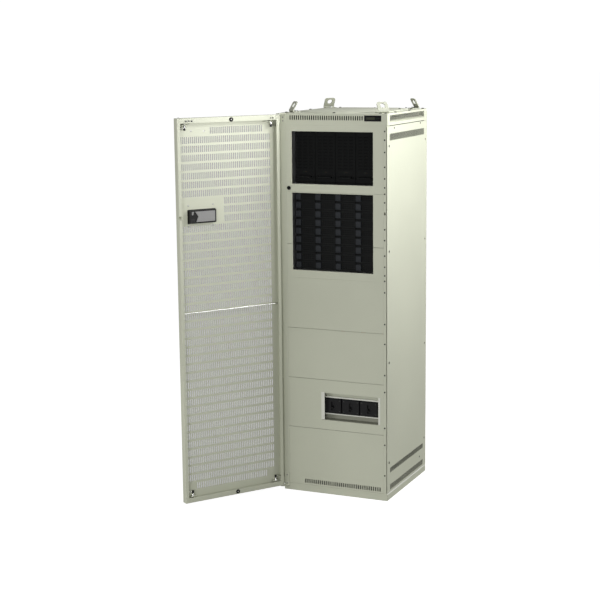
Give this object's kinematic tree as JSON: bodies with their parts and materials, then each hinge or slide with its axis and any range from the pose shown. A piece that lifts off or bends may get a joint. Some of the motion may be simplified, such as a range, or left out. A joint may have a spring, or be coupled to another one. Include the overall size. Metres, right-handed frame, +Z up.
{
  "type": "modular ups cabinet",
  "caption": "Tall floor-standing UPS cabinet with a perforated front door, slide-in power modules, a recessed breaker group and roof lifting lugs.",
  "frame": {"origin": "centre of the cabinet's underside, on the floor plane", "axes": "+Z up, +X to the right seen from the front, the front face looks towards -Y"},
  "size_m": [0.9376, 1.1131, 2.0566],
  "materials": {
    "paint": "smooth satin powder coat, warm beige grey",
    "paint_inner": "satin powder coat on inner sheet metal",
    "zinc": "zinc-plated sheet steel",
    "chrome": "polished chrome plating",
    "module_black": "black powder-coated module front",
    "module_slate": "dark slate moulded handles on black fronts",
    "mould_black": "semi-gloss moulded breaker case",
    "display": "dark display window",
    "rubber": "black rubber",
    "copper": "bare copper bar on an insulating board"
  },
  "bodies": {
    "cabinet": {"base_plinth": "paint", "post_front_left": "paint", "post_front_right": "paint", "post_rear_left": "paint", "post_rear_right": "paint", "top_frame": "paint_inner", "roof_cover": "paint", "status_display": "display", "side_panel_left": "paint", "side_panel_right": "paint", "rear_panel": "paint", "lifting_lug_front_left": "paint", "lifting_lug_front_right": "paint", "lifting_lug_rear_left": "paint", "lifting_lug_rear_right": "paint", "upper_bay_bezel": "paint", "middle_bay_bezel": "paint", "lower_bay_bezel": "paint", "blank_panel_upper": "paint", "blank_panel_lower": "paint", "breaker_panel": "paint", "base_vent_panel": "paint", "upper_module_cage": "zinc", "lower_module_cage": "zinc", "power_backplane": "copper", "breaker_pan": "paint_inner", "breaker_1": "mould_black", "breaker_2": "mould_black", "breaker_3": "mould_black", "terminal_block": "mould_black", "hinge_bracket_top": "zinc", "hinge_bracket_bottom": "zinc"},
    "door": {"door_panel": "paint", "door_stiffener": "paint", "door_lock_housing": "module_black", "door_buffer_top": "rubber", "door_buffer_bottom": "rubber"},
    "handle": {"door_handle": "module_black"},
    "latch": {"latch_slide": "zinc"},
    "hinge_pin_top": {"hinge_bolt_top": "chrome"},
    "hinge_pin_bottom": {"hinge_bolt_bottom": "chrome"},
    "free_pin_top": {"free_bolt_top": "chrome"},
    "free_pin_bottom": {"free_bolt_bottom": "chrome"},
    "lock": {"bay_lock": "module_black"},
    "power_1": {"power_module_1": "module_black"},
    "power_2": {"power_module_2": "module_black"},
    "power_3": {"power_module_3": "module_black"},
    "power_4": {"power_module_4": "module_black"},
    "row_1": {"module_row_1": "module_slate"},
    "row_2": {"module_row_2": "module_slate"},
    "row_3": {"module_row_3": "module_slate"},
    "row_4": {"module_row_4": "module_slate"},
    "row_5": {"module_row_5": "module_slate"},
    "row_6": {"module_row_6": "module_slate"},
    "row_7": {"module_row_7": "module_slate"},
    "row_8": {"module_row_8": "module_slate"},
    "row_9": {"module_row_9": "module_slate"},
    "toggle_1": {"breaker_toggle_1": "module_black"},
    "toggle_2": {"breaker_toggle_2": "module_black"},
    "toggle_3": {"breaker_toggle_3": "module_black"}
  },
  "joints": [
    {"name": "door_hinge", "type": "hinge", "parent": "cabinet", "child": "door", "pos_m": [-0.2945, -0.3175, 1], "axis": [0, 0, -1], "range_deg": [-124.5, 5.5]},
    {"name": "handle_lift", "type": "hinge", "parent": "door", "child": "handle", "pos_m": [-0.53297, -0.62987, 1.5], "axis": [0, 0, -1], "range_deg": [0, 40]},
    {"name": "latch_draw", "type": "slide", "parent": "door", "child": "latch", "axis": [0.5664, 0.8241, 0], "range_m": [0, 0.005]},
    {"name": "hinge_pin_top_draw", "type": "slide", "parent": "door", "child": "hinge_pin_top", "axis": [0, 0, -1], "range_m": [0, 0.012], "stiffness_N_per_m": 600, "springref_m": -0.006},
    {"name": "hinge_pin_bottom_draw", "type": "slide", "parent": "door", "child": "hinge_pin_bottom", "axis": [0, 0, 1], "range_m": [0, 0.012], "stiffness_N_per_m": 600, "springref_m": -0.006},
    {"name": "free_pin_top_draw", "type": "slide", "parent": "door", "child": "free_pin_top", "axis": [0, 0, -1], "range_m": [0, 0.012], "stiffness_N_per_m": 600, "springref_m": -0.006},
    {"name": "free_pin_bottom_draw", "type": "slide", "parent": "door", "child": "free_pin_bottom", "axis": [0, 0, 1], "range_m": [0, 0.012], "stiffness_N_per_m": 600, "springref_m": -0.006},
    {"name": "lock_turn", "type": "hinge", "parent": "cabinet", "child": "lock", "pos_m": [-0.248, -0.3, 1.6155], "axis": [0, -1, 0], "range_deg": [0, 90]},
    {"name": "power_1_draw", "type": "slide", "parent": "cabinet", "child": "power_1", "axis": [0, -1, 0], "range_m": [0, 0.25]},
    {"name": "power_2_draw", "type": "slide", "parent": "cabinet", "child": "power_2", "axis": [0, -1, 0], "range_m": [0, 0.25]},
    {"name": "power_3_draw", "type": "slide", "parent": "cabinet", "child": "power_3", "axis": [0, -1, 0], "range_m": [0, 0.25]},
    {"name": "power_4_draw", "type": "slide", "parent": "cabinet", "child": "power_4", "axis": [0, -1, 0], "range_m": [0, 0.25]},
    {"name": "row_1_draw", "type": "slide", "parent": "cabinet", "child": "row_1", "axis": [0, -1, 0], "range_m": [0, 0.2]},
    {"name": "row_2_draw", "type": "slide", "parent": "cabinet", "child": "row_2", "axis": [0, -1, 0], "range_m": [0, 0.2]},
    {"name": "row_3_draw", "type": "slide", "parent": "cabinet", "child": "row_3", "axis": [0, -1, 0], "range_m": [0, 0.2]},
    {"name": "row_4_draw", "type": "slide", "parent": "cabinet", "child": "row_4", "axis": [0, -1, 0], "range_m": [0, 0.2]},
    {"name": "row_5_draw", "type": "slide", "parent": "cabinet", "child": "row_5", "axis": [0, -1, 0], "range_m": [0, 0.2]},
    {"name": "row_6_draw", "type": "slide", "parent": "cabinet", "child": "row_6", "axis": [0, -1, 0], "range_m": [0, 0.2]},
    {"name": "row_7_draw", "type": "slide", "parent": "cabinet", "child": "row_7", "axis": [0, -1, 0], "range_m": [0, 0.2]},
    {"name": "row_8_draw", "type": "slide", "parent": "cabinet", "child": "row_8", "axis": [0, -1, 0], "range_m": [0, 0.2]},
    {"name": "row_9_draw", "type": "slide", "parent": "cabinet", "child": "row_9", "axis": [0, -1, 0], "range_m": [0, 0.2]},
    {"name": "toggle_1_throw", "type": "hinge", "parent": "cabinet", "child": "toggle_1", "pos_m": [-0.021, -0.267, 0.476], "axis": [-1, 0, 0], "range_deg": [0, 48]},
    {"name": "toggle_2_throw", "type": "hinge", "parent": "cabinet", "child": "toggle_2", "pos_m": [0.08, -0.267, 0.476], "axis": [-1, 0, 0], "range_deg": [0, 48]},
    {"name": "toggle_3_throw", "type": "hinge", "parent": "cabinet", "child": "toggle_3", "pos_m": [0.181, -0.267, 0.476], "axis": [-1, 0, 0], "range_deg": [0, 48]}
  ],
  "couplings": [
    {"joint": "latch_draw", "follows": "handle_lift", "m_per_rad": 0.007161}
  ]
}
